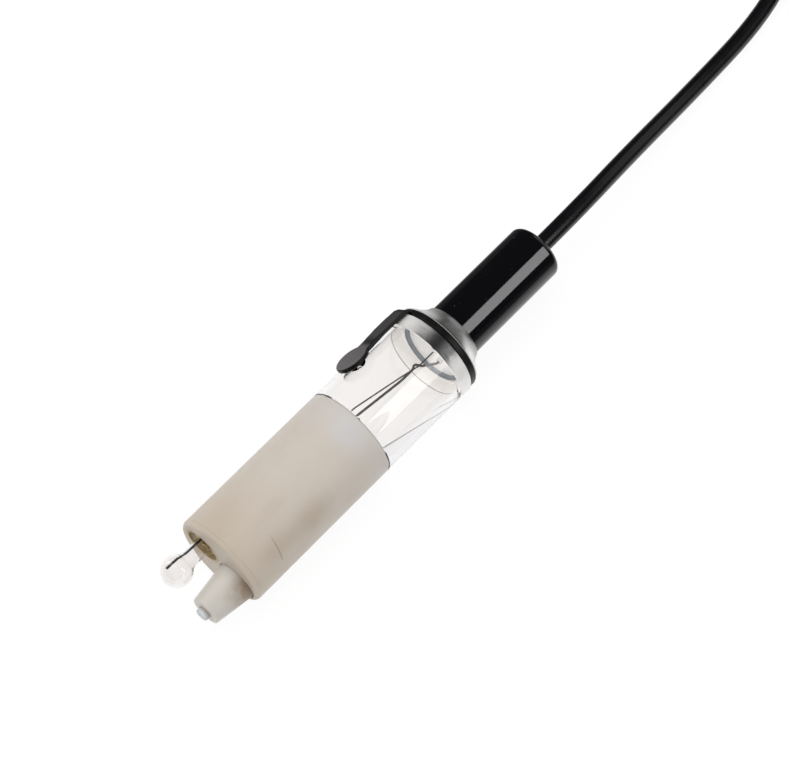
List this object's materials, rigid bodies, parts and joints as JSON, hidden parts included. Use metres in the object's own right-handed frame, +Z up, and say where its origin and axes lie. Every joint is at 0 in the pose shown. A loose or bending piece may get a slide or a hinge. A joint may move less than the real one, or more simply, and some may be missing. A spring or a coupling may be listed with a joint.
{
  "type": "combination ph electrode",
  "caption": "Refillable combination pH electrode with a glass bulb, clear window, strapped filler stopper, black cap and a lead in a tied hank with a bayonet plug.",
  "frame": {"origin": "bottom centre of the electrode's own box, without its cable, on the surface that it lies on", "axes": "+X along the electrode's axis from the glass bulb to the cable, +Y to the side that the filler stopper faces, +Z up"},
  "size_m": [0.2586, 0.0364, 0.0262],
  "materials": {
    "sleeve_plastic": "satin, slightly stained",
    "cone_plastic": "satin, brown stain at its foot",
    "porous_ceramic": "matt porous ceramic",
    "electrode_glass": "clear",
    "window_plastic": "clear",
    "dark_silver": "blackened",
    "lead_silver": "dull",
    "amber_resin": "amber resin",
    "dark_seal": "matt",
    "gasket_rubber": "matt",
    "white_plastic": "satin",
    "collar_metal": "fine turned",
    "black_rubber": "satin rubber",
    "cap_plastic": "gloss",
    "cable_jacket": "satin",
    "tie_plastic": "satin",
    "plug_metal": "nickel plate",
    "gilt_brass": "polished"
  },
  "bodies": {
    "electrode": {"lower_sleeve": "sleeve_plastic", "glass_electrode": "electrode_glass", "inner_electrode_wire": "dark_silver", "stem_bung": "black_rubber", "stem_potting": "amber_resin", "junction_cone": "cone_plastic", "junction_pin": "porous_ceramic", "junction_seal": "dark_seal", "reservoir_tube": "window_plastic", "reference_wire": "lead_silver", "signal_lead": "lead_silver", "lead_bush": "white_plastic", "top_stopper": "white_plastic", "collar_gasket": "gasket_rubber", "top_collar": "collar_metal", "filler_band": "black_rubber", "cap": "cap_plastic", "cable": "cable_jacket", "cable_hank": "cable_jacket", "hank_tie_near": "tie_plastic", "hank_tie_far": "tie_plastic", "cable_tail": "cable_jacket", "plug_boot": "black_rubber", "plug_nut": "plug_metal", "plug_body": "plug_metal", "plug_insulator": "white_plastic", "contact_pin": "gilt_brass"},
    "stopper": {"filler_stopper": "black_rubber"},
    "coupling_ring": {"bayonet_ring": "plug_metal"}
  },
  "joints": [
    {"name": "stopper_lift", "type": "hinge", "parent": "electrode", "child": "stopper", "pos_m": [0.01874, 0.00796, 0.01725], "axis": [0, 0.6561, -0.7547], "range_deg": [0, 95]},
    {"name": "ring_turn", "type": "hinge", "parent": "electrode", "child": "coupling_ring", "pos_m": [0.16414, -0.01821, 0.01895], "axis": [1, 0, 0], "continuous": true}
  ]
}
